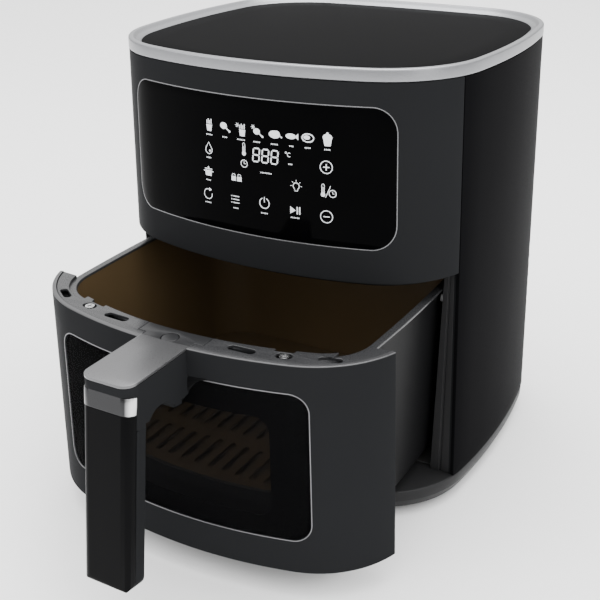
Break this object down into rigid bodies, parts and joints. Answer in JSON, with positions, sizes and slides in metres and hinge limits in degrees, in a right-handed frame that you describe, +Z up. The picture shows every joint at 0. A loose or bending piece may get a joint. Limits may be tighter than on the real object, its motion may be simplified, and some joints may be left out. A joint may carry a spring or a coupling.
{
  "type": "air fryer",
  "caption": "Countertop air fryer with a windowed pull-out basket drawer, hanging-grip handle, touch-control glass and a metallic trim ring round a recessed top.",
  "frame": {"origin": "on the floor plane, at the middle of the footprint's bounding box with the drawer at its stored, open place", "axes": "+Z up, -Y towards the user and the way the drawer opens, +X to the right of a user who faces the front; the drawer and its handle are the -Y end"},
  "size_m": [0.3024, 0.465, 0.342],
  "materials": {
    "housing_plastic": "fine satin black",
    "front_plastic": "satin dark grey",
    "base_plastic": "satin black",
    "black_plastic": "matt black",
    "rim_plastic": "satin grey",
    "silver_plastic": "satin silver",
    "handle_plate_plastic": "satin grey",
    "grip_plastic": "soft matt black",
    "control_glass": "polished black with fine printed icons",
    "window_glass": "polished smoked",
    "clear_glass": "polished clear",
    "rubber": "matt black",
    "silicone": "matt dark red",
    "nonstick_coating": "satin non-stick",
    "coated_steel": "satin dark",
    "steel": "fine brushed",
    "screw_steel": "polished",
    "heater_steel": "heat-darkened",
    "aluminium": "satin",
    "motor_steel": "satin",
    "board": "green solder mask",
    "ceramic": "glazed"
  },
  "bodies": {
    "housing": {"base_tray": "base_plastic", "rubber_feet": "rubber", "base_screws": "screw_steel", "side_shell": "housing_plastic", "front_cover": "front_plastic", "control_glass": "control_glass", "glass_backing": "black_plastic", "display_board": "board", "cover_floor": "black_plastic", "brow_strip": "black_plastic", "trim_ring": "silver_plastic", "top_panel": "housing_plastic", "opening_frame": "base_plastic", "chamber_liner": "coated_steel", "guide_rails": "steel", "heater_guard": "steel", "heater_coil": "heater_steel", "guard_screws": "screw_steel", "reflector_plate": "aluminium", "motor_bracket": "steel", "fan_motor": "motor_steel", "power_board": "board", "air_outlet_grille": "black_plastic", "cord_gland": "rubber", "drawer_switch": "black_plastic", "temperature_sensor": "steel", "chamber_lamp": "ceramic", "lamp_lens": "clear_glass"},
    "fan": {"fan_impeller": "aluminium", "motor_shaft": "steel", "cooling_fan": "black_plastic", "shaft_nut": "screw_steel"},
    "drawer": {"drawer_front": "front_plastic", "front_brackets": "black_plastic", "outer_window": "window_glass", "window_gasket": "rubber", "basket": "nonstick_coating", "basket_runners": "black_plastic", "inner_window": "clear_glass", "inner_window_frame": "rubber", "rim_cover_left": "rim_plastic", "rim_cover_right": "rim_plastic", "rim_cover_centre": "rim_plastic", "round_cap": "rim_plastic", "rim_screws": "screw_steel", "handle_arm": "grip_plastic", "handle_plate": "handle_plate_plastic", "grip_front": "grip_plastic", "grip_rear": "grip_plastic", "grip_band": "silver_plastic", "handle_screws": "screw_steel"},
    "tray": {"crisper_tray": "nonstick_coating", "tray_bumpers": "silicone"}
  },
  "joints": [
    {"name": "drawer_slide", "type": "slide", "parent": "housing", "child": "drawer", "axis": [0, -0.9984, -0.0571], "range_m": [-0.1051, 0.06]},
    {"name": "tray_lift", "type": "slide", "parent": "drawer", "child": "tray", "axis": [0, 0, 1], "range_m": [0, 0.11]},
    {"name": "fan_spin", "type": "hinge", "parent": "housing", "child": "fan", "pos_m": [0, 0.11231, 0.225], "axis": [0, 0, 1], "continuous": true}
  ]
}
